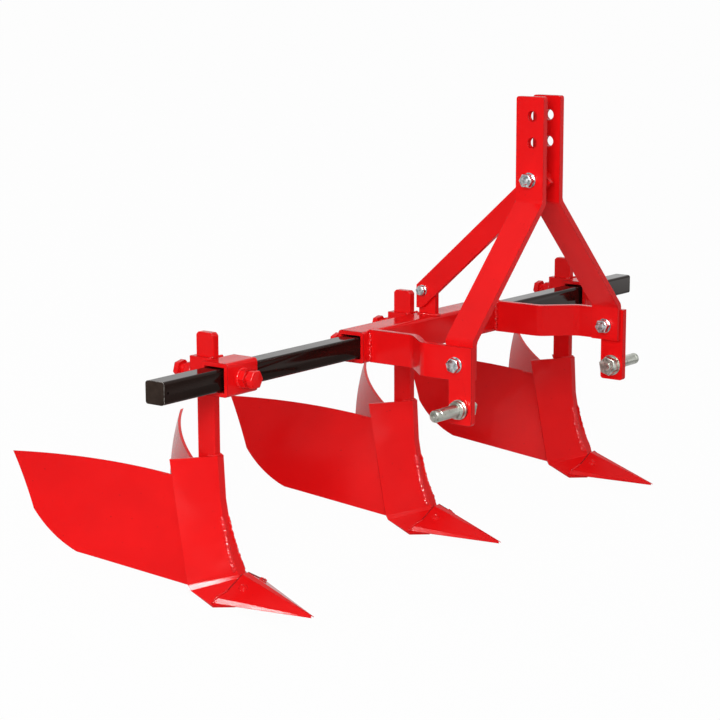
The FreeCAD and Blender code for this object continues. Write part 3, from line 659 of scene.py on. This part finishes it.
for tag in CENTRES:
    for side, s in (("left", 1), ("right", -1)):
        wing = f"wing_{tag}_{side}"
        dressed(wing, red, red_painted_edge_shade, 0.7)
        run = [met(skin(wing), on_body(tag, s * FAR, y, ROOT_WELD_HEIGHT), (-s, 0, 0))[0]
               for y in ROOT_WELD_ENDS]
        welds(f"root_weld_{tag}_{side}", body_of[wing], [run], 2.3, wander=0.25)
        pin = nodes[f"wing_pin_{tag}_{side}"].data
        pin.materials.clear()
        pin.materials.append(red.material)

# ---------------------------------------------------------------- hitch brackets, mast and brace
# Brackets, ears and mast bars are 12 mm flat bent cold, so their folds are rounded.  The
# brackets and the lug are welded to the sleeve; the mast and brace are bolted on.
BRACKET_X = 206
PLATE = 12
LUG_Y = (-25, 16)
BRACE_THICK = 10
for side, s in (("left", 1), ("right", -1)):
    dressed(f"bracket_{side}", red, red_painted_edge_shade, 1.0, fold=9, axes=[(0, 0, 1)])
    dressed(f"strut_{side}", red, red_painted_edge_shade, 1.0, fold=4, axes=[(0, 1, 0)])
    dressed(f"mast_spacer_{side}", red, red_painted_edge_shade, 0.8)
dressed("brace", red, red_painted_edge_shade, 1.0)
dressed("brace_lug", red, red_painted_edge_shade, 1.0)
SLEEVE_FRONT = SHIFT - BOX_HALF
SLEEVE_TOP = BAR_HEIGHT + BOX_HALF
runs = []
for s in (1, -1):
    for x in (BRACKET_X - 1.5, BRACKET_X + PLATE + 1.5):
        runs.append([(s * x, SLEEVE_FRONT - 1, SLEEVE_TOP - 56), (s * x, SLEEVE_FRONT - 1, SLEEVE_TOP - 4)])
    runs.append([(s * BRACKET_X, SLEEVE_FRONT + 1.5, SLEEVE_TOP + 0.5),
                 (s * (BRACKET_X + PLATE), SLEEVE_FRONT + 1.5, SLEEVE_TOP + 0.5)])
welds("bracket_welds", "hitch_frame", runs, 3.6, pitch=0.8, wander=0.35)
runs = [[(x, LUG_Y[0] - 0.5, SLEEVE_TOP + 1), (x, LUG_Y[1] + 0.5, SLEEVE_TOP + 1)]
        for x in (-1, BRACE_THICK + 1)]
runs += [[(0, y, SLEEVE_TOP + 1), (BRACE_THICK, y, SLEEVE_TOP + 1)] for y in (LUG_Y[0] - 1, LUG_Y[1] + 1)]
welds("lug_welds", "hitch_frame", runs, 3.0)

# ---------------------------------------------------------------- frame bolts and lower link pins
# Zinc-plated hexagon bolts with washers, and turned link pins with a collar that is drawn up
# against the ear by a nut and a wide washer.
WASHER = 2.5
M16 = (16, 24, 10, 13, 3)      # thread, flats, head, nut, and the tail beyond the nut
M12 = (12, 18, 8, 10, 2)


def washer(shape, place, inner, outer, low, high):
    add(shape, turned([(inner, low), (outer - 0.6, low), (outer, low + 0.6), (outer, high - 0.6),
                       (outer - 0.6, high), (inner, high)], 36), place)


def bolt(node, head, nut, y, z, across, flats, head_high, nut_high, tail, turn):
    """Bolt along the machine's width with its head at one x and its nut at the other."""
    way = math.copysign(1, head - nut)
    out = facing((head, y, z), (way, 0, 0), turn)
    back = facing((nut, y, z), (-way, 0, 0), turn + 0.35)
    grip = abs(head - nut)
    shape = bmesh.new()
    washer(shape, out, across / 2, flats * 0.6, 0, WASHER)
    add(shape, hexagon_block(flats, WASHER, WASHER + head_high, 1.4), out)
    washer(shape, back, across / 2, flats * 0.6, 0, WASHER)
    add(shape, hexagon_block(flats, WASHER, WASHER + nut_high, 1.4), back)
    add(shape, turned(threaded(across / 2, -grip, WASHER + nut_high + tail, 1.75, 0.5)), back)
    piece = new_piece(node + "_dressed", shape, body_of[node], "zinc_plate", zinc_and_painted_reflection)
    piece.data.shade_smooth()
    piece.data.set_sharp_from_angle(angle=math.radians(40))
    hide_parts(node)


MAST_Y = -260
MAST_HALF = 34.5               # from the middle to the outside of a mast bar at its top
MAST_BOLT_HEIGHT = 716
BRACE_BOLT_HEIGHT = 484
bolt("mast_bolt", MAST_HALF, -MAST_HALF, MAST_Y, MAST_BOLT_HEIGHT, *M16, 0.15)
bolt("brace_bolt", -BRACE_THICK, BRACE_THICK, 0, BRACE_BOLT_HEIGHT, *M12, 0.4)

pin_steel_and_painted_reflection = Finish("pin_steel_and_painted_reflection", (0.22, 0.42), metallic=1.0)
# Painted reflection: dark bands running along the pins darken the metal's colour, standing in for dark
# surroundings mirrored in the turned steel; a second pattern darkens it further in patches.
pin_steel_and_painted_reflection.shade(pin_steel_and_painted_reflection.noise(110, (0.08, 1, 1)), (0.66, 0.67, 0.61), (0.17, 0.18, 0.15))
pin_steel_and_painted_reflection.shade(pin_steel_and_painted_reflection.noise(150), None, (0.22, 0.20, 0.16), 0.60, 0.74)
pin_steel_and_painted_reflection.grain(pin_steel_and_painted_reflection.noise(600), 0.0001, 0.35)
EAR_OUTER, EAR_INNER = 270, 258
FOOT_NUT = EAR_INNER - PLATE   # the mast bar lies inside the ear
PIN_Y, PIN_HEIGHT = -270, 325
PIN = [(0, 78.5), (1.6, 80), (8.6, 80), (10.6, 78), (11, 77), (11, 70), (10.2, 69.2), (10.2, 67.4),
       (11, 66.6), (11, 17), (11.8, 14.8), (13.5, 14), (15.6, 14), (16.4, 13.2), (16.4, 7.2),
       (17.2, 6.4), (18, 5.6), (18, 0.8), (17.2, 0), (0, 0)]
for side, s in (("left", 1), ("right", -1)):
    bolt(f"foot_bolt_{side}", s * EAR_OUTER, s * FOOT_NUT, MAST_Y, BAR_HEIGHT, *M16, 0.3)
    shape = bmesh.new()
    add(shape, turned(PIN, 40), facing((s * EAR_OUTER, PIN_Y, PIN_HEIGHT), (s, 0, 0)))
    inner = facing((s * EAR_INNER, PIN_Y, PIN_HEIGHT), (-s, 0, 0), 0.2)
    washer(shape, inner, 9, 20.5, 0, 3)
    add(shape, hexagon_block(34, 3, 18, 2.0), inner)
    add(shape, turned(threaded(9, -11, 21, 1.75, 0.5)), inner)
    piece = new_piece(f"link_pin_{side}_dressed", shape, "hitch_frame", "zinc_plate", pin_steel_and_painted_reflection)
    piece.data.shade_smooth()
    piece.data.set_sharp_from_angle(angle=math.radians(40))
    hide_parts(f"link_pin_{side}")
